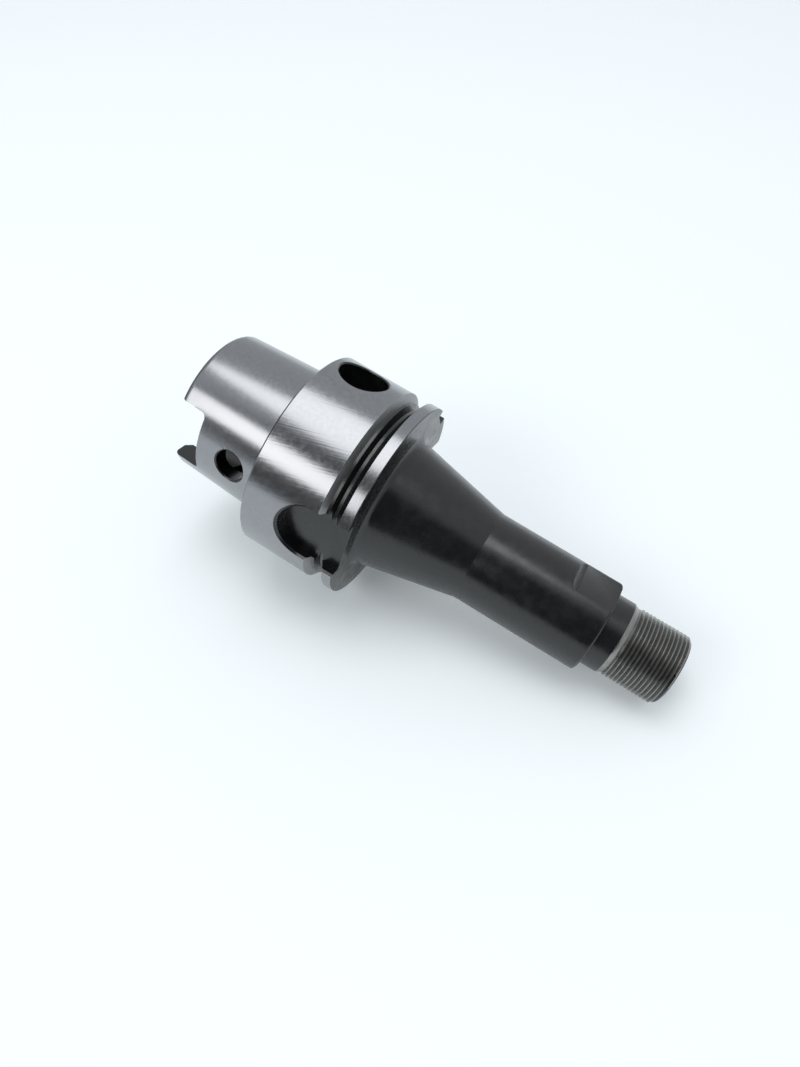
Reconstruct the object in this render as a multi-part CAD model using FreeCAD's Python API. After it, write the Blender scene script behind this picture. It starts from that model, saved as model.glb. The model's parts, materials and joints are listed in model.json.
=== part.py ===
import FreeCAD, Part

import math
import os

# Collet chuck holder: a hollow taper shank tool holder, size 40, turned and milled from one
# steel bar. The axis is +Z. Z = 0 is the open end of the hollow taper and the collet nose
# points up. +X runs through the wide flange keyway, -X through the narrow one.
# All sizes are in millimetres and degrees.

Vector = FreeCAD.Vector
ORIGIN = Vector(0, 0, 0)
AXIS = Vector(0, 0, 1)

# ---- hollow taper shank
SHANK_LENGTH = 20.0             # open end to contact face
GAUGE_DIAMETER = 30.007
GAUGE_TO_FACE = 4.0
TAPER_RATIO = 9.98              # length for one unit of diameter
SHANK_END_ROUND = 1.2
ROOT_GROOVE_WIDTH = 0.9         # grinding relief in the corner of taper and contact face
ROOT_GROOVE_DEPTH = 0.3
DRIVE_SLOT_WIDTH = 12.8
DRIVE_SLOT_DEPTH = 5.8
DRIVE_SLOT_CORNER = 1.0
ACCESS_HOLE_DIAMETER = 6.2
ACCESS_HOLE_TO_FACE = 6.66
ACCESS_HOLE_BREAK = 0.25

# ---- hollow that the spindle's gripper fills
SHANK_WALL = 3.7                # at the open end
HOLLOW_LEAD = 1.0
CLAMP_SHOULDER_TO_FACE = 11.42
CLAMP_SHOULDER_ANGLE = 30.0     # to the axis
CLAMP_UNDERCUT = 1.25           # radial
HOLLOW_PAST_FACE = 2.0
HOLLOW_CORNER = 1.0             # chamfer between wall and floor
COOLANT_SEAT_DIAMETER = 14.0
COOLANT_SEAT_DEPTH = 3.0
COOLANT_CORE_DIAMETER = 11.0    # tapping size of the coolant tube thread
COOLANT_CORE_DEPTH = 9.0
THROUGH_BORE_DIAMETER = 5.0

# ---- flange
FLANGE_DIAMETER = 40.0
FACE_CHAMFER = 0.35
GROOVE_TO_FACE = 16.4           # middle of the gripper groove's bottom
GROOVE_DEPTH = 2.6
GROOVE_BOTTOM_WIDTH = 0.5
GROOVE_FLANK_ANGLE = 30.0       # to the flange faces
GROUND_FLANK_DEPTH = 1.45       # the outer part of the shank side flank, ground back
GROUND_FLANK_STOCK = 0.5        # along the axis
RIM_WIDTH = 2.05
RIM_CHAMFER = 0.12
KEYWAY_TO_FACE = 7.4            # contact face to the round end
WIDE_KEYWAY_WIDTH = 11.0
WIDE_KEYWAY_DEPTH = 3.0
NARROW_KEYWAY_WIDTH = 9.0
NARROW_KEYWAY_DEPTH = 8.0
KEYWAY_BREAK = 0.45
CHIP_HOLE_DIAMETER = 9.6
CHIP_HOLE_DEPTH = 4.6
CHIP_HOLE_TO_FACE = 6.4
CHIP_HOLE_ANGLE = -99.3         # round the axis from the wide keyway
CHIP_HOLE_BREAK = 0.25
NOTCH_WIDTH = 5.0
NOTCH_DEPTH = 1.6
NOTCH_ANGLE = -135.0

# ---- nose
CONE_BASE_DIAMETER = 26.5
CONE_ROOT_ROUND = 1.5
CONE_LENGTH = 20.0
BARREL_LENGTH = 24.9
BARREL_EDGE = 0.6
SHOULDER_HEIGHT = 1.85
NECK_LENGTH = 3.5
NECK_STEP = 0.2
THREAD_RELIEF_LENGTH = 1.1      # cone between neck and thread
THREAD_RELIEF_DEPTH = 0.35
THREAD_LENGTH = 10.3
THREAD_END_CHAMFER = 0.6
FLAT_DEPTH = 1.0
FLAT_LENGTH = 7.0
FLAT_RUN_OUT_RADIUS = 1.8

# ---- collet seat
COLLET_MOUTH_DIAMETER = 11.2
COLLET_MOUTH_BREAK = 0.3
COLLET_SEAT_ANGLE = 8.0         # to the axis
COLLET_SEAT_LENGTH = 12.4
COLLET_BORE_DEPTH = 32.0
DRILL_POINT_ANGLE = 59.0        # to the axis
NOSE_WALL = 1.35

# ---- how far cutters overrun the metal, and how near two shapes count as touching
OVERRUN = 1.0
TOUCH = 1e-4
SEAM_ANGLE = 45.0               # where turned surfaces close, clear of every cut


def slope(length, angle):
    """Sideways travel of a line that leans by angle over a length."""
    return length * math.tan(math.radians(angle))


# ---- heights and radii that follow
face_z = SHANK_LENGTH
flange_r = FLANGE_DIAMETER / 2
groove_bottom_r = flange_r - GROOVE_DEPTH
groove_half_bottom = GROOVE_BOTTOM_WIDTH / 2
groove_half_top = groove_half_bottom + slope(GROOVE_DEPTH, GROOVE_FLANK_ANGLE)
groove_z = face_z + GROOVE_TO_FACE
rim_z = groove_z + groove_half_top + RIM_WIDTH
cone_end_z = rim_z + CONE_LENGTH
shoulder_z = cone_end_z + BARREL_LENGTH
relief_z = shoulder_z + NECK_LENGTH
thread_z = relief_z + THREAD_RELIEF_LENGTH
nose_z = thread_z + THREAD_LENGTH
mouth_r = COLLET_MOUTH_DIAMETER / 2
thread_r = mouth_r + NOSE_WALL
neck_r = thread_r + NECK_STEP
barrel_r = neck_r + SHOULDER_HEIGHT


def taper_r(z):
    """Outer radius of the shank's taper at a height."""
    return (GAUGE_DIAMETER + (z - (face_z - GAUGE_TO_FACE)) / TAPER_RATIO) / 2


def section_wire(corners):
    """Closed half section from (radius, height, rounding) corners; a rounding is a tangent arc."""
    points = [Vector(r, 0, z) for r, z, _ in corners]
    starts, ends, arcs = [], [], []
    for i, (_, _, rounding) in enumerate(corners):
        here = points[i]
        back = (points[i - 1] - here).normalize()
        ahead = (points[(i + 1) % len(points)] - here).normalize()
        if not rounding:
            starts.append(here)
            ends.append(here)
            arcs.append(None)
            continue
        half_turn = back.getAngle(ahead) / 2
        cut = rounding / math.tan(half_turn)
        middle = (back + ahead).normalize() * (rounding / math.sin(half_turn) - rounding)
        starts.append(here + back * cut)
        ends.append(here + ahead * cut)
        arcs.append(here + middle)
    edges = []
    for i in range(len(corners)):
        if arcs[i]:
            edges.append(Part.Arc(starts[i], arcs[i], ends[i]).toShape())
        after = starts[(i + 1) % len(corners)]
        edges.append(Part.LineSegment(ends[i], after).toShape())
    return Part.Wire(edges)


def turned(corners):
    """Solid of revolution about the axis."""
    solid = Part.Face(section_wire(corners)).revolve(ORIGIN, AXIS, 360)
    solid.rotate(ORIGIN, AXIS, SEAM_ANGLE)
    return solid


def outside_corners():
    """Outer half section, from the shank's open end up to the nose."""
    groove_low_z = face_z - ROOT_GROOVE_WIDTH
    root_r = taper_r(groove_low_z) - ROOT_GROOVE_DEPTH
    relief_r = thread_r - THREAD_RELIEF_DEPTH
    return [
        (taper_r(0), 0, SHANK_END_ROUND),
        (taper_r(groove_low_z), groove_low_z, 0),
        (root_r, groove_low_z + ROOT_GROOVE_DEPTH, 0),
        (root_r, face_z + ROOT_GROOVE_DEPTH, 0),
        (taper_r(face_z), face_z + ROOT_GROOVE_DEPTH, 0),
        (taper_r(face_z) + ROOT_GROOVE_DEPTH, face_z, 0),
        (flange_r - FACE_CHAMFER, face_z, 0),
        (flange_r, face_z + FACE_CHAMFER, 0),
        (flange_r, rim_z - RIM_CHAMFER, 0),
        (flange_r - RIM_CHAMFER, rim_z, 0),
        (CONE_BASE_DIAMETER / 2, rim_z, CONE_ROOT_ROUND),
        (barrel_r, cone_end_z, 0),
        (barrel_r, shoulder_z, BARREL_EDGE),
        (neck_r, shoulder_z, 0),
        (neck_r, relief_z, 0),
        (relief_r, thread_z, 0),
        (thread_r, thread_z + THREAD_RELIEF_DEPTH, 0),
        (thread_r, nose_z - THREAD_END_CHAMFER, 0),
        (thread_r - THREAD_END_CHAMFER, nose_z, 0),
    ]


def inside_corners():
    """Inner half section, from the collet mouth down to the shank's open end."""
    seat_top_z = nose_z - COLLET_MOUTH_BREAK
    seat_low_z = seat_top_z - COLLET_SEAT_LENGTH
    collet_bore_r = mouth_r - slope(COLLET_SEAT_LENGTH, COLLET_SEAT_ANGLE)
    collet_bore_z = nose_z - COLLET_BORE_DEPTH
    through_r = THROUGH_BORE_DIAMETER / 2
    point_z = collet_bore_z - (collet_bore_r - through_r) / slope(1, DRILL_POINT_ANGLE)

    floor_z = face_z + HOLLOW_PAST_FACE
    coolant_seat_z = floor_z + COOLANT_SEAT_DEPTH
    coolant_end_z = coolant_seat_z + COOLANT_CORE_DEPTH
    coolant_r = COOLANT_CORE_DIAMETER / 2
    coolant_point_z = coolant_end_z + (coolant_r - through_r) / slope(1, DRILL_POINT_ANGLE)

    clamp_r = taper_r(0) - SHANK_WALL
    undercut_r = clamp_r + CLAMP_UNDERCUT
    clamp_z = face_z - CLAMP_SHOULDER_TO_FACE
    undercut_z = clamp_z + CLAMP_UNDERCUT / slope(1, CLAMP_SHOULDER_ANGLE)
    return [
        (mouth_r + COLLET_MOUTH_BREAK, nose_z, 0),
        (mouth_r, seat_top_z, 0),
        (collet_bore_r, seat_low_z, 0),
        (collet_bore_r, collet_bore_z, 0),
        (through_r, point_z, 0),
        (through_r, coolant_point_z, 0),
        (coolant_r, coolant_end_z, 0),
        (coolant_r, coolant_seat_z, 0),
        (COOLANT_SEAT_DIAMETER / 2, coolant_seat_z, 0),
        (COOLANT_SEAT_DIAMETER / 2, floor_z, 0),
        (undercut_r - HOLLOW_CORNER, floor_z, 0),
        (undercut_r, floor_z - HOLLOW_CORNER, 0),
        (undercut_r, undercut_z, 0),
        (clamp_r, clamp_z, 0),
        (clamp_r, HOLLOW_LEAD, 0),
        (clamp_r + HOLLOW_LEAD, 0, 0),
    ]


def gripper_groove():
    """Ring cut out of the flange for the tool changer's gripper; one flank is ground back."""
    over_r = flange_r + OVERRUN
    over_half = groove_half_top + slope(OVERRUN, GROOVE_FLANK_ANGLE)
    ledge_r = flange_r - GROUND_FLANK_DEPTH
    ledge_z = groove_z - groove_half_top + slope(GROUND_FLANK_DEPTH, GROOVE_FLANK_ANGLE)
    return turned([
        (groove_bottom_r, groove_z - groove_half_bottom, 0),
        (ledge_r, ledge_z, 0),
        (ledge_r, ledge_z - GROUND_FLANK_STOCK, 0),
        (over_r, groove_z - over_half - GROUND_FLANK_STOCK, 0),
        (over_r, groove_z + over_half, 0),
        (groove_bottom_r, groove_z + groove_half_bottom, 0),
    ])


def keyway(width, depth):
    """End mill path of a keyway on the +X side: a round end towards the shank, open at the nose."""
    floor_x = flange_r - depth
    reach = depth + OVERRUN
    centre_z = face_z + KEYWAY_TO_FACE + width / 2
    round_end = Part.makeCylinder(width / 2, reach, Vector(floor_x, 0, centre_z), Vector(1, 0, 0))
    length = cone_end_z - centre_z
    channel = Part.makeBox(reach, width, length, Vector(floor_x, -width / 2, centre_z))
    return round_end.fuse(channel).removeSplitter()


def drive_slots():
    """Two opposite slots across the shank's open end, with rounded inner corners."""
    half = DRIVE_SLOT_WIDTH / 2
    reach = taper_r(face_z) + OVERRUN
    corners = [
        Vector(-reach, -half, -OVERRUN),
        Vector(-reach, half, -OVERRUN),
        Vector(-reach, half, DRIVE_SLOT_DEPTH),
        Vector(-reach, -half, DRIVE_SLOT_DEPTH),
    ]
    bar = Part.Face(Part.makePolygon(corners + corners[:1])).extrude(Vector(2 * reach, 0, 0))
    inner = [e for e in bar.Edges
             if all(v.Z > DRIVE_SLOT_DEPTH - TOUCH for v in e.Vertexes) and e.Length > reach]
    return bar.makeFillet(DRIVE_SLOT_CORNER, inner)


def orientation_notch():
    """Notch through the flange's rim, from the groove to the nose side."""
    floor_x = flange_r - NOTCH_DEPTH
    notch = Part.makeBox(NOTCH_DEPTH + OVERRUN, NOTCH_WIDTH, rim_z + OVERRUN - groove_z,
                         Vector(floor_x, -NOTCH_WIDTH / 2, groove_z))
    notch.rotate(ORIGIN, AXIS, NOTCH_ANGLE)
    return notch


def chip_hole():
    """Blind radial hole in the flange for a data chip."""
    hole = Part.makeCylinder(CHIP_HOLE_DIAMETER / 2, CHIP_HOLE_DEPTH + OVERRUN,
                             Vector(flange_r - CHIP_HOLE_DEPTH, 0, face_z + CHIP_HOLE_TO_FACE),
                             Vector(1, 0, 0))
    hole.rotate(ORIGIN, AXIS, CHIP_HOLE_ANGLE)
    return hole


def access_hole():
    """Radial hole through the shank's +X wall, for unclamping by hand."""
    return Part.makeCylinder(ACCESS_HOLE_DIAMETER / 2, taper_r(face_z) + OVERRUN,
                             Vector(0, 0, face_z - ACCESS_HOLE_TO_FACE), Vector(1, 0, 0))


def spanner_flat(side):
    """Milled flat on one side of the barrel; the cutter leaves a round run-out."""
    floor_y = barrel_r - FLAT_DEPTH
    over_y = floor_y + FLAT_RUN_OUT_RADIUS
    low_z = shoulder_z - FLAT_LENGTH
    bend = FLAT_RUN_OUT_RADIUS * (1 - math.sqrt(0.5))
    start = Vector(-barrel_r, side * floor_y, low_z)
    middle = Vector(-barrel_r, side * (floor_y + bend), low_z - FLAT_RUN_OUT_RADIUS + bend)
    end = Vector(-barrel_r, side * over_y, low_z - FLAT_RUN_OUT_RADIUS)
    top_outer = Vector(-barrel_r, side * over_y, shoulder_z + OVERRUN)
    top_inner = Vector(-barrel_r, side * floor_y, shoulder_z + OVERRUN)
    outline = Part.Wire([
        Part.Arc(start, middle, end).toShape(),
        Part.LineSegment(end, top_outer).toShape(),
        Part.LineSegment(top_outer, top_inner).toShape(),
        Part.LineSegment(top_inner, start).toShape(),
    ])
    return Part.Face(outline).extrude(Vector(2 * barrel_r, 0, 0))


def cut_with_broken_edge(body, cutter, skin_r, size):
    """Cut, then chamfer the edges that the cutter leaves on the skin of radius skin_r(z)."""
    body = body.cut(cutter)
    skin = cutter.Shells[0]

    def on_skin_and_cutter(edge):
        for share in (0.15, 0.5, 0.85):
            first, last = edge.ParameterRange
            point = edge.valueAt(first + share * (last - first))
            if abs(math.hypot(point.x, point.y) - skin_r(point.z)) > TOUCH:
                return False
            if Part.Vertex(point).distToShape(skin)[0] > TOUCH:
                return False
        return True

    return body.makeChamfer(size, [e for e in body.Edges if on_skin_and_cutter(e)])


def holder_body():
    """The whole holder: turned first, then milled and drilled."""
    body = turned(outside_corners() + inside_corners())
    narrow = keyway(NARROW_KEYWAY_WIDTH, NARROW_KEYWAY_DEPTH)
    narrow.rotate(ORIGIN, AXIS, 180)
    for cutter, size in (
        (keyway(WIDE_KEYWAY_WIDTH, WIDE_KEYWAY_DEPTH), KEYWAY_BREAK),
        (narrow, KEYWAY_BREAK),
        (chip_hole(), CHIP_HOLE_BREAK),
    ):
        body = cut_with_broken_edge(body, cutter, lambda z: flange_r, size)
    body = cut_with_broken_edge(body, access_hole(), taper_r, ACCESS_HOLE_BREAK)
    for cutter in (
        gripper_groove(),
        orientation_notch(),
        drive_slots(),
        spanner_flat(1),
        spanner_flat(-1),
    ):
        body = body.cut(cutter)
    return body.removeSplitter()


os.makedirs("parts", exist_ok=True)
holder_body().exportStep("parts/holder_body.step")
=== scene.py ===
import json
import math

import bmesh
import bpy
from mathutils import Matrix, Vector


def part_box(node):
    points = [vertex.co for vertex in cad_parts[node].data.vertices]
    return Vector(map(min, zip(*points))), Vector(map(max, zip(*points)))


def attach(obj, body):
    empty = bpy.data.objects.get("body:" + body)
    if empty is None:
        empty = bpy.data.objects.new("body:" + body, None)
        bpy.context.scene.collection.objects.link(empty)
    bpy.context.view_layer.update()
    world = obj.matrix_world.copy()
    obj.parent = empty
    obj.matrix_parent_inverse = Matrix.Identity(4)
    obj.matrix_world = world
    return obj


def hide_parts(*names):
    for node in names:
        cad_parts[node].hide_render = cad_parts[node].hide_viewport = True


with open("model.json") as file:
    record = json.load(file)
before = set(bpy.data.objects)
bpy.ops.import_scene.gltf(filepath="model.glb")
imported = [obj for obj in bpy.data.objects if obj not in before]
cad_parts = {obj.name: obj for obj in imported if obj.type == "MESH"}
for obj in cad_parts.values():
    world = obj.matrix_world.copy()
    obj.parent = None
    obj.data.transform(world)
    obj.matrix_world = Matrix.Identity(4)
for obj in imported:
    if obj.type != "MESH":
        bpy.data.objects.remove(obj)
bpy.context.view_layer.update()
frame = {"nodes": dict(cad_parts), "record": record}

# ---- Holder body
# The holder is turned and milled from one bar of tool steel. The visible body is that form
# with its seams welded. The nose's plain cylinder, its chamfers and its end ring are taken
# off, to make room for the thread.
MM = 0.001
WELD = 0.001 * MM
RELIEF_Z = 89.701 * MM                  # where the thread starts, at the foot of its relief
ABOVE_RELIEF = 0.02 * MM
INSIDE_THREAD_R = 6.0 * MM              # just outside the collet's mouth

def deselect_all():
    bpy.ops.object.select_all(action='DESELECT')

def make_active(piece):
    deselect_all()
    piece.select_set(True)
    bpy.context.view_layer.objects.active = piece

def select_in_edit(piece, kind, wanted):
    """In edit mode, selects exactly the vertices, edges or faces that wanted() picks."""
    bpy.ops.mesh.select_mode(type={'verts': 'VERT', 'edges': 'EDGE', 'faces': 'FACE'}[kind])
    bpy.ops.mesh.select_all(action='DESELECT')
    shape = bmesh.from_edit_mesh(piece.data)
    for element in getattr(shape, kind):
        element.select_set(bool(wanted(element)))
    shape.select_flush_mode()
    bmesh.update_edit_mesh(piece.data)

def reach(point):
    """Distance from the axis."""
    return math.hypot(point.x, point.y)

node = frame["nodes"]["holder_body"]
body = node.copy()
body.data = node.data.copy()
body.name = "turned_body"
body.parent = None
body.matrix_world.identity()
bpy.context.collection.objects.link(body)
make_active(body)
bpy.ops.object.mode_set(mode='EDIT')
bpy.ops.mesh.select_all(action='SELECT')
bpy.ops.mesh.customdata_custom_splitnormals_clear()
bpy.ops.mesh.remove_doubles(threshold=WELD)

def plain_thread(face):
    middle = face.calc_center_median()
    return middle.z > RELIEF_Z + ABOVE_RELIEF and reach(middle) > INSIDE_THREAD_R

select_in_edit(body, 'faces', plain_thread)
bpy.ops.mesh.delete(type='FACE')
bpy.ops.object.mode_set(mode='OBJECT')

# ---- Nose thread
# A fine right-hand thread for the clamping nut, cut into the end of the nose. One turn's
# profile is drawn point by point, screwed along the axis, trimmed to the nose, chamfered at
# both ends and joined to the body.
PITCH = 0.75 * MM
THREAD_DEPTH = 0.46 * MM
THREAD_HALF_ANGLE = math.radians(30)
CREST_FLAT = 0.12 * MM
RELIEF_DEPTH = 0.35 * MM
SPARE_TURNS = 2                         # past each end, for the trim
TURN_STEPS = 120
CUT_PRECISION = 0.0001 * MM
RIM_TOLERANCE = 0.003 * MM
CREASE_ANGLE = math.radians(28)

nose_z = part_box("holder_body")[1].z
thread_mount = next(m for m in frame["record"]["mounts"] if m["name"] == "nose_thread")
crest_r = thread_mount["dims"]["r_mm"] * MM
thread_end_z = thread_mount["pos_m"][2] + thread_mount["dims"]["length_mm"] * MM / 2
root_r = crest_r - THREAD_DEPTH
relief_foot_r = crest_r - RELIEF_DEPTH
flank = THREAD_DEPTH * math.tan(THREAD_HALF_ANGLE)
root_flat = PITCH - 2 * flank - CREST_FLAT
first_z = RELIEF_Z - SPARE_TURNS * PITCH
turns = math.ceil((nose_z - first_z) / PITCH) + SPARE_TURNS

bpy.ops.mesh.primitive_plane_add(size=PITCH, location=(0, 0, 0))
thread = bpy.context.object
thread.name = "nose_thread_helix"
bpy.ops.object.mode_set(mode='EDIT')
bpy.ops.mesh.select_mode(type='VERT')
bpy.ops.mesh.select_all(action='SELECT')
bpy.ops.mesh.merge(type='CENTER')
bpy.ops.transform.translate(value=(root_r, 0, first_z))
for out, along in ((THREAD_DEPTH, flank), (0, CREST_FLAT), (-THREAD_DEPTH, flank), (0, root_flat)):
    bpy.ops.mesh.extrude_region_move(TRANSFORM_OT_translate={"value": (out, 0, along)})
bpy.ops.object.mode_set(mode='OBJECT')
screw = thread.modifiers.new("turns", 'SCREW')
screw.axis = 'Z'
screw.angle = math.tau
screw.screw_offset = PITCH
screw.iterations = turns
screw.steps = screw.render_steps = TURN_STEPS
screw.use_merge_vertices = False
bpy.ops.object.modifier_apply(modifier=screw.name)
bpy.ops.object.mode_set(mode='EDIT')
bpy.ops.mesh.select_all(action='SELECT')
bpy.ops.mesh.remove_doubles(threshold=WELD)
bpy.ops.mesh.bisect(plane_co=(0, 0, nose_z), plane_no=(0, 0, 1), clear_outer=True,
                    threshold=CUT_PRECISION)
bpy.ops.mesh.select_all(action='SELECT')
bpy.ops.mesh.bisect(plane_co=(0, 0, RELIEF_Z), plane_no=(0, 0, 1), clear_inner=True,
                    threshold=CUT_PRECISION)
shape = bmesh.from_edit_mesh(thread.data)
for vert in shape.verts:
    end_r = crest_r - max(0, vert.co.z - thread_end_z)
    lead_r = relief_foot_r + (vert.co.z - RELIEF_Z)
    r = reach(vert.co)
    share = min(r, end_r, lead_r) / r
    vert.co.x *= share
    vert.co.y *= share
shape.normal_update()
bmesh.update_edit_mesh(thread.data)
bpy.ops.mesh.select_all(action='SELECT')
bpy.ops.mesh.normals_make_consistent(inside=False)
bpy.ops.object.mode_set(mode='OBJECT')

deselect_all()
thread.select_set(True)
body.select_set(True)
bpy.context.view_layer.objects.active = body
bpy.ops.object.join()
bpy.ops.object.mode_set(mode='EDIT')
for z in (RELIEF_Z, nose_z):
    def open_rim(edge, z=z):
        return edge.is_boundary and all(abs(v.co.z - z) < RIM_TOLERANCE for v in edge.verts)
    select_in_edit(body, 'edges', open_rim)
    bpy.ops.mesh.bridge_edge_loops()
shape = bmesh.from_edit_mesh(body.data)
for face in shape.faces:
    if face.select and any(edge.is_manifold and not edge.is_contiguous for edge in face.edges):
        face.normal_flip()
bmesh.update_edit_mesh(body.data)
bpy.ops.object.mode_set(mode='OBJECT')
make_active(body)
bpy.ops.object.shade_smooth_by_angle(angle=CREASE_ANGLE)

# ---- Turned surfaces
# True normals on the outside turned faces, so that their long facets reflect as a lathe
# leaves them. A facet counts as turned if its corners lie on one cone round the axis.
UP = Vector((0, 0, 1))
TURNED_SPANS = (                        # heights in mm: taper, land, rim, cone, barrel, neck
    (1.2, 19.11), (20.35, 34.2), (38.0, 40.1), (41.3, 60.21), (60.2, 84.51), (85.1, 88.61),
)
SPAN_TOLERANCE = 0.01
CONE_TOLERANCE = 0.03 * MM
LEAST_OUTWARD = 0.5
WIDEST_FACET = math.radians(20)

mesh = body.data
corner_normals = [Vector(corner.vector) for corner in mesh.corner_normals]
for face in mesh.polygons:
    points = [mesh.vertices[i].co for i in face.vertices]
    heights = [point.z / MM for point in points]
    if not any(low - SPAN_TOLERANCE <= min(heights) and max(heights) <= high + SPAN_TOLERANCE
               for low, high in TURNED_SPANS):
        continue
    flat, up = math.hypot(face.normal.x, face.normal.y), face.normal.z
    outward = face.normal.x * face.center.x + face.normal.y * face.center.y > 0
    if flat < LEAST_OUTWARD or not outward:
        continue
    offsets = [flat * reach(point) + up * point.z for point in points]
    bearings = [math.atan2(point.y, point.x) for point in points]
    spread = max(abs(math.remainder(bearing - bearings[0], math.tau)) for bearing in bearings)
    if max(offsets) - min(offsets) > CONE_TOLERANCE or spread > WIDEST_FACET:
        continue
    for corner, point in zip(face.loop_indices, points):
        radial = Vector((point.x, point.y, 0)).normalized()
        corner_normals[corner] = (radial * flat + UP * up).normalized()
mesh.normals_split_custom_set(corner_normals)

# ---- Finishes
# Black oxide with a soft mottle all over, then steel where it was ground after blackening:
# the taper, contact face, land and rim, with fine grinding lines, and a duller groove flank.
# The thread is bare. Sharp edges turn brighter: worn-through steel plus a painted highlight on the
# oxide, only a painted highlight on bare steel.
BEVEL_SAMPLES = 6
# The bright edges, partly worn finish and partly a painted highlight, start and are full at these
# likenesses.
WEAR_AND_HIGHLIGHT_STARTS, WEAR_AND_HIGHLIGHT_FULL = 0.985, 0.90    # likeness of the rounded normal to the plain one
MARK_DETAIL = 2
MARK_ROUGHNESS = 0.6
GRAIN_DETAIL = 5
GRAIN_LOW, GRAIN_HIGH = 0.3, 0.7        # the part of the noise that is spread over the swing

def worn_edges():
    """Group: 1 along sharp edges, where handling has worn the finish away and where a highlight is
    painted.
    """
    group = bpy.data.node_groups.new("worn_edges", 'ShaderNodeTree')
    group.interface.new_socket("Radius", in_out='INPUT', socket_type='NodeSocketFloat')
    group.interface.new_socket("Wear", in_out='OUTPUT', socket_type='NodeSocketFloat')
    nodes, links = group.nodes, group.links
    given, result = nodes.new("NodeGroupInput"), nodes.new("NodeGroupOutput")
    rounded = nodes.new("ShaderNodeBevel")
    rounded.samples = BEVEL_SAMPLES
    plain = nodes.new("ShaderNodeNewGeometry")
    likeness = nodes.new("ShaderNodeVectorMath")
    likeness.operation = 'DOT_PRODUCT'
    wear_and_highlight = nodes.new("ShaderNodeMapRange")
    wear_and_highlight.inputs["From Min"].default_value = WEAR_AND_HIGHLIGHT_STARTS
    wear_and_highlight.inputs["From Max"].default_value = WEAR_AND_HIGHLIGHT_FULL
    links.new(given.outputs["Radius"], rounded.inputs["Radius"])
    links.new(rounded.outputs["Normal"], likeness.inputs[0])
    links.new(plain.outputs["Normal"], likeness.inputs[1])
    links.new(likeness.outputs["Value"], wear_and_highlight.inputs["Value"])
    links.new(wear_and_highlight.outputs["Result"], result.inputs["Wear"])
    return group

def turned_marks():
    """Group: height of marks that lean by Lean from a circle round the axis, Gap metres apart."""
    group = bpy.data.node_groups.new("turned_marks", 'ShaderNodeTree')
    for name in ("Radius", "Lean", "Gap"):
        group.interface.new_socket(name, in_out='INPUT', socket_type='NodeSocketFloat')
    group.interface.new_socket("Height", in_out='OUTPUT', socket_type='NodeSocketFloat')
    nodes, links = group.nodes, group.links
    given, result = nodes.new("NodeGroupInput"), nodes.new("NodeGroupOutput")

    def step(operation, *values):
        node = nodes.new("ShaderNodeMath")
        node.operation = operation
        for socket, value in zip(node.inputs, values):
            if isinstance(value, (int, float)):
                socket.default_value = value
            else:
                links.new(value, socket)
        return node.outputs["Value"]

    where = nodes.new("ShaderNodeTexCoord")
    place = nodes.new("ShaderNodeSeparateXYZ")
    links.new(where.outputs["Object"], place.inputs["Vector"])
    bearing = step('ARCTAN2', place.outputs["Y"], place.outputs["X"])
    round_axis = step('MULTIPLY', bearing, given.outputs["Radius"])
    across = step('ADD', step('MULTIPLY', round_axis, step('SINE', given.outputs["Lean"])),
                  step('MULTIPLY', place.outputs["Z"], step('COSINE', given.outputs["Lean"])))
    lines = nodes.new("ShaderNodeTexNoise")
    lines.noise_dimensions = '1D'
    lines.inputs["Scale"].default_value = 1
    lines.inputs["Detail"].default_value = MARK_DETAIL
    lines.inputs["Roughness"].default_value = MARK_ROUGHNESS
    links.new(step('DIVIDE', across, given.outputs["Gap"]), lines.inputs["W"])
    links.new(lines.outputs["Fac"], result.inputs["Height"])
    return group

worn_and_highlit_edges_group = worn_edges()
turned_marks_group = turned_marks()

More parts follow.
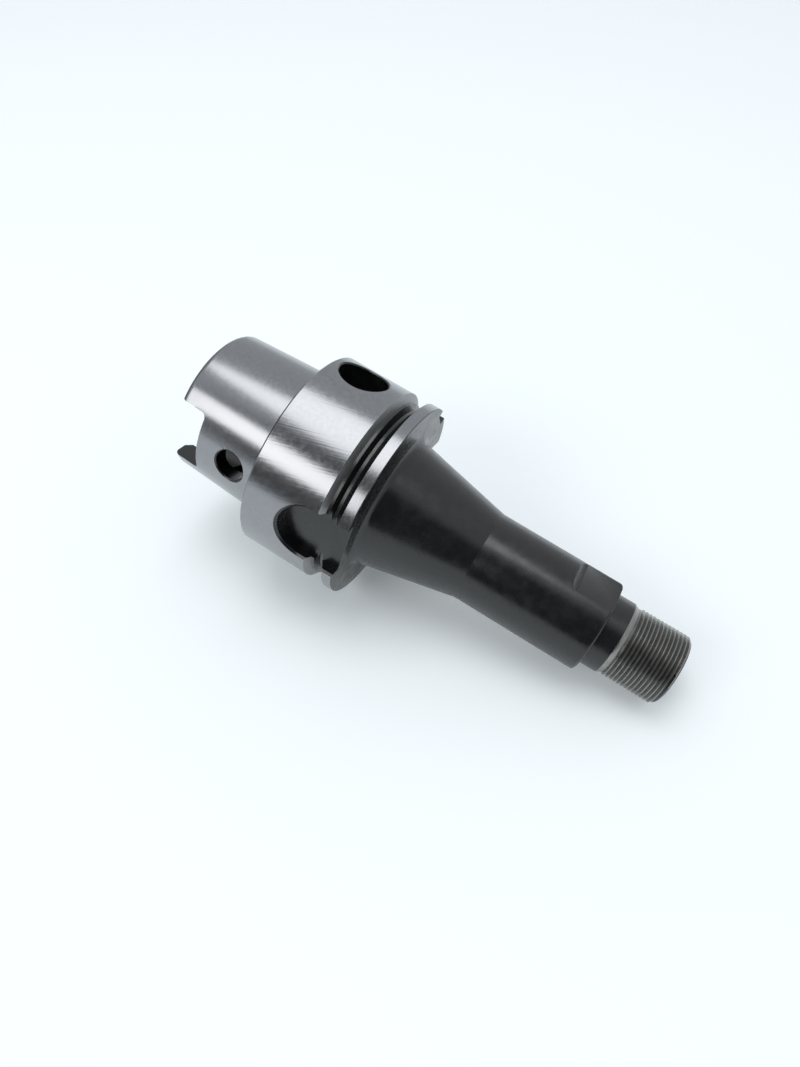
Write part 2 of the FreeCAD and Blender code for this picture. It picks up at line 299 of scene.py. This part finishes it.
def finish(name, colour, metallic, roughness, worn_and_highlight_colour, worn_and_highlight_radius, marks, grain, ior=1.5):
    """marks: radius, lean, gap and height; grain: size, height, roughness swing, colour swing."""
    mark_radius, mark_lean, mark_gap, mark_height = marks
    grain_size, grain_height, roughness_swing, colour_swing = grain
    material = bpy.data.materials.new(name)
    material.use_nodes = True
    nodes, links = material.node_tree.nodes, material.node_tree.links
    surface = nodes["Principled BSDF"]
    surface.inputs["IOR"].default_value = ior

    where = nodes.new("ShaderNodeTexCoord")
    mottle = nodes.new("ShaderNodeTexNoise")
    mottle.inputs["Scale"].default_value = 1 / grain_size
    mottle.inputs["Detail"].default_value = GRAIN_DETAIL
    links.new(where.outputs["Object"], mottle.inputs["Vector"])

    def swing(middle, share):
        """The mottle, spread evenly round a middle value."""
        spread = nodes.new("ShaderNodeMapRange")
        spread.inputs["From Min"].default_value = GRAIN_LOW
        spread.inputs["From Max"].default_value = GRAIN_HIGH
        spread.inputs["To Min"].default_value = middle - share
        spread.inputs["To Max"].default_value = middle + share
        links.new(mottle.outputs["Fac"], spread.inputs["Value"])
        return spread.outputs["Result"]

    def bump(height, distance):
        relief = nodes.new("ShaderNodeBump")
        relief.inputs["Strength"].default_value = 1
        relief.inputs["Distance"].default_value = distance
        links.new(height, relief.inputs["Height"])
        return relief

    # Sharp edges get a brighter, metallic colour: worn-through steel on the oxide, and a painted
    # highlight on all of them.
    wear_and_highlight = nodes.new("ShaderNodeGroup")
    wear_and_highlight.node_tree = worn_and_highlit_edges_group
    wear_and_highlight.inputs["Radius"].default_value = worn_and_highlight_radius
    toned = nodes.new("ShaderNodeVectorMath")
    toned.operation = 'SCALE'
    toned.inputs[0].default_value = colour
    links.new(swing(1, colour_swing), toned.inputs["Scale"])
    shown = nodes.new("ShaderNodeMix")
    shown.data_type = 'RGBA'
    shown.inputs["B"].default_value = (*worn_and_highlight_colour, 1)
    links.new(wear_and_highlight.outputs["Wear"], shown.inputs["Factor"])
    links.new(toned.outputs["Vector"], shown.inputs["A"])
    links.new(shown.outputs["Result"], surface.inputs["Base Color"])
    metal = nodes.new("ShaderNodeMath")
    metal.operation = 'MAXIMUM'
    metal.inputs[1].default_value = metallic
    links.new(wear_and_highlight.outputs["Wear"], metal.inputs[0])
    links.new(metal.outputs["Value"], surface.inputs["Metallic"])
    links.new(swing(roughness, roughness_swing), surface.inputs["Roughness"])

    lines = nodes.new("ShaderNodeGroup")
    lines.node_tree = turned_marks_group
    lines.inputs["Radius"].default_value = mark_radius
    lines.inputs["Lean"].default_value = mark_lean
    lines.inputs["Gap"].default_value = mark_gap
    cut = bump(lines.outputs["Height"], mark_height)
    pitted = bump(mottle.outputs["Fac"], grain_height)
    links.new(cut.outputs["Normal"], pitted.inputs["Normal"])
    links.new(pitted.outputs["Normal"], surface.inputs["Normal"])
    return material

STEEL = (0.285, 0.29, 0.30)
# Brighter steel painted along the edges of bare steel: a painted highlight.
WORN_AND_HIGHLIT = (0.42, 0.43, 0.44)
CHATTER_LEAN = math.radians(74)         # the land's marks run nearly along the axis
# Each finish's edge colour is a painted highlight; on the black oxide it also stands for steel
# worn bare.
black_oxide = finish(
    "black_oxide", (0.0040, 0.0044, 0.0048), metallic=0, roughness=0.25, ior=1.60,
    worn_and_highlight_colour=(0.16, 0.165, 0.17), worn_and_highlight_radius=0.09 * MM,
    marks=(9 * MM, 0, 0.25 * MM, 0.004 * MM), grain=(2.2 * MM, 0.02 * MM, 0.06, 0.35))
ground_steel = finish(
    "ground_steel", STEEL, metallic=1, roughness=0.21, worn_and_highlight_colour=WORN_AND_HIGHLIT, worn_and_highlight_radius=0.10 * MM,
    marks=(15 * MM, 0, 0.18 * MM, 0.006 * MM), grain=(0.5 * MM, 0.004 * MM, 0.03, 0.06))
ground_land = finish(
    "ground_land", STEEL, metallic=1, roughness=0.20, worn_and_highlight_colour=WORN_AND_HIGHLIT, worn_and_highlight_radius=0.10 * MM,
    marks=(20 * MM, CHATTER_LEAN, 0.34 * MM, 0.008 * MM), grain=(0.8 * MM, 0.004 * MM, 0.03, 0.06))
ground_flank = finish(
    "ground_flank", (0.33, 0.335, 0.34), metallic=1, roughness=0.48,
    worn_and_highlight_colour=WORN_AND_HIGHLIT, worn_and_highlight_radius=0.08 * MM,
    marks=(19 * MM, 0, 0.2 * MM, 0.003 * MM), grain=(0.6 * MM, 0.004 * MM, 0.04, 0.08))
bare_thread = finish(
    "bare_thread", (0.30, 0.295, 0.28), metallic=1, roughness=0.30,
    worn_and_highlight_colour=(0.45, 0.45, 0.44), worn_and_highlight_radius=0.05 * MM,
    marks=(7 * MM, 0, 0.1 * MM, 0.001 * MM), grain=(1.5 * MM, 0.004 * MM, 0.05, 0.1))

ANY = -math.inf
FINISHED = (                            # heights and least radius in mm, least outward, least up
    (ground_steel, ANY, 19.1, 13.6, 0.9, ANY),          # shank taper
    (ground_steel, 19.99, 20.01, ANY, ANY, ANY),        # contact face
    (ground_land, 20.3, 34.2, 19.9, 0.95, ANY),
    (ground_steel, 38.1, 40.1, 19.9, 0.95, ANY),        # rim
    (ground_flank, 34.0, 35.1, 18.5, ANY, 0.7),
    (bare_thread, 88.6, 89.7, 6.4, 0.5, ANY),           # relief cone
    (bare_thread, 89.72, math.inf, 6.6, 0.3, ANY),
)
palette = (black_oxide, ground_steel, ground_land, ground_flank, bare_thread)
body.data.materials.clear()
for material in palette:
    body.data.materials.append(material)
for face in body.data.polygons:
    middle = face.center / MM
    radius = reach(middle)
    outward = (face.normal.x * middle.x + face.normal.y * middle.y) / radius
    face.material_index = palette.index(next(
        (material for material, low, high, least_r, least_out, least_up in FINISHED
         if low < middle.z < high and radius > least_r
         and outward > least_out and face.normal.z > least_up),
        black_oxide))
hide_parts("holder_body")
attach(body, "root")

# ---- Table, camera and light
# The holder lies on a white table, on its flange's rim, with the end of its thread just above
# it; from below the table is clear. A broad ceiling light, a smaller, brighter window light at
# the front left and pale walls light it, and the room is darker in front.
TABLE_SIZE = 3.0
TABLE_DROP = 27.97 * MM
PAPER = (0.91, 0.955, 0.98, 1)
PAPER_GLOW = (0.92, 1.0, 1.0, 1)
table_up = Vector((0.2332, -0.9500, -0.2100)).normalized()

bpy.ops.mesh.primitive_plane_add(size=TABLE_SIZE)
table = bpy.context.object
table.name = "table"
turn = table_up.to_track_quat('Z', 'Y').to_matrix().to_4x4()
turn.translation = -TABLE_DROP * table_up
table.data.transform(turn)
table.matrix_world.identity()
paper = bpy.data.materials.new("white_table")
paper.use_nodes = True
nodes, links = paper.node_tree.nodes, paper.node_tree.links
paper_surface = nodes["Principled BSDF"]
paper_surface.inputs["Base Color"].default_value = PAPER
paper_surface.inputs["Roughness"].default_value = 0.6
paper_surface.inputs["Emission Color"].default_value = PAPER_GLOW
paper_surface.inputs["Emission Strength"].default_value = 0.15
paper_surface.inputs["Specular IOR Level"].default_value = 0.2
see_through = nodes.new("ShaderNodeBsdfTransparent")
side = nodes.new("ShaderNodeNewGeometry")
choose = nodes.new("ShaderNodeMixShader")
links.new(side.outputs["Backfacing"], choose.inputs["Fac"])
links.new(paper_surface.outputs["BSDF"], choose.inputs[1])
links.new(see_through.outputs["BSDF"], choose.inputs[2])
links.new(choose.outputs["Shader"], nodes["Material Output"].inputs["Surface"])
table.data.materials.append(paper)

camera_at = Vector((0.10916, -0.09275, 0.06762))
camera_right = Vector((-0.44616, -0.29684, 0.84429)).normalized()
camera_back = Vector((0.73410, -0.66099, 0.15553)).normalized()
camera_up = camera_back.cross(camera_right)
lens = bpy.data.cameras.new("camera")
lens.lens = 25.71
lens.sensor_width = 36
lens.clip_start = 0.01
camera = bpy.data.objects.new("camera", lens)
bpy.context.collection.objects.link(camera)
for row in range(3):
    for column, axis in enumerate((camera_right, camera_up, camera_back, camera_at)):
        camera.matrix_world[row][column] = axis[row]
bpy.context.scene.camera = camera

table_right = (camera_right - camera_right.dot(table_up) * table_up).normalized()
table_away = table_up.cross(table_right)

def over_table(elevation, bearing):
    """Direction by elevation above the table and bearing from the picture's right."""
    el, az = math.radians(elevation), math.radians(bearing)
    flat = math.cos(az) * table_right + math.sin(az) * table_away
    return math.cos(el) * flat + math.sin(el) * table_up

LAMP_AIM = Vector((0, 0, 0.045))
LAMP_DISTANCE = 0.9

def lamp(name, elevation, bearing, width, depth, radiance):
    """Panel that looks at the middle of the holder, with its radiance as a share of white."""
    light = bpy.data.lights.new(name, 'AREA')
    light.shape = 'RECTANGLE'
    light.size, light.size_y = width, depth
    light.energy = radiance * math.pi * width * depth
    panel = bpy.data.objects.new(name, light)
    bpy.context.collection.objects.link(panel)
    towards = over_table(elevation, bearing)
    panel.location = LAMP_AIM + LAMP_DISTANCE * towards
    across = table_up.cross(towards).normalized()
    facing = Matrix((across, towards.cross(across), towards)).transposed()
    panel.rotation_euler = facing.to_euler()

lamp("ceiling_light", elevation=84, bearing=100, width=0.58, depth=0.56, radiance=2.3)
lamp("window_light", elevation=38, bearing=-142, width=0.46, depth=0.34, radiance=3.4)

ROOM = (0.66, 0.69, 0.72, 1)
SHADED = (0.11, 0.115, 0.12, 1)
BACKGROUND = (0.97, 1.0, 1.0, 1)        # what the camera sees past the table
SHADE_STARTS, SHADE_FULL = 0.64, 0.82   # cosine of the angle to the middle of the shade
world = bpy.data.worlds.new("studio")
bpy.context.scene.world = world
world.use_nodes = True
nodes, links = world.node_tree.nodes, world.node_tree.links
backdrop = nodes["Background"]
where = nodes.new("ShaderNodeTexCoord")
aside = nodes.new("ShaderNodeVectorMath")
aside.operation = 'DOT_PRODUCT'
aside.inputs[1].default_value = over_table(elevation=28, bearing=-108)
links.new(where.outputs["Generated"], aside.inputs[0])
shade = nodes.new("ShaderNodeMapRange")
shade.interpolation_type = 'SMOOTHSTEP'
shade.inputs["From Min"].default_value = SHADE_STARTS
shade.inputs["From Max"].default_value = SHADE_FULL
links.new(aside.outputs["Value"], shade.inputs["Value"])
room = nodes.new("ShaderNodeMix")
room.data_type = 'RGBA'
room.inputs["A"].default_value = ROOM
room.inputs["B"].default_value = SHADED
links.new(shade.outputs["Result"], room.inputs["Factor"])
ray = nodes.new("ShaderNodeLightPath")
seen = nodes.new("ShaderNodeMix")
seen.data_type = 'RGBA'
seen.inputs["B"].default_value = BACKGROUND
links.new(ray.outputs["Is Camera Ray"], seen.inputs["Factor"])
links.new(room.outputs["Result"], seen.inputs["A"])
links.new(seen.outputs["Result"], backdrop.inputs["Color"])
bpy.context.scene.view_settings.view_transform = 'Standard'
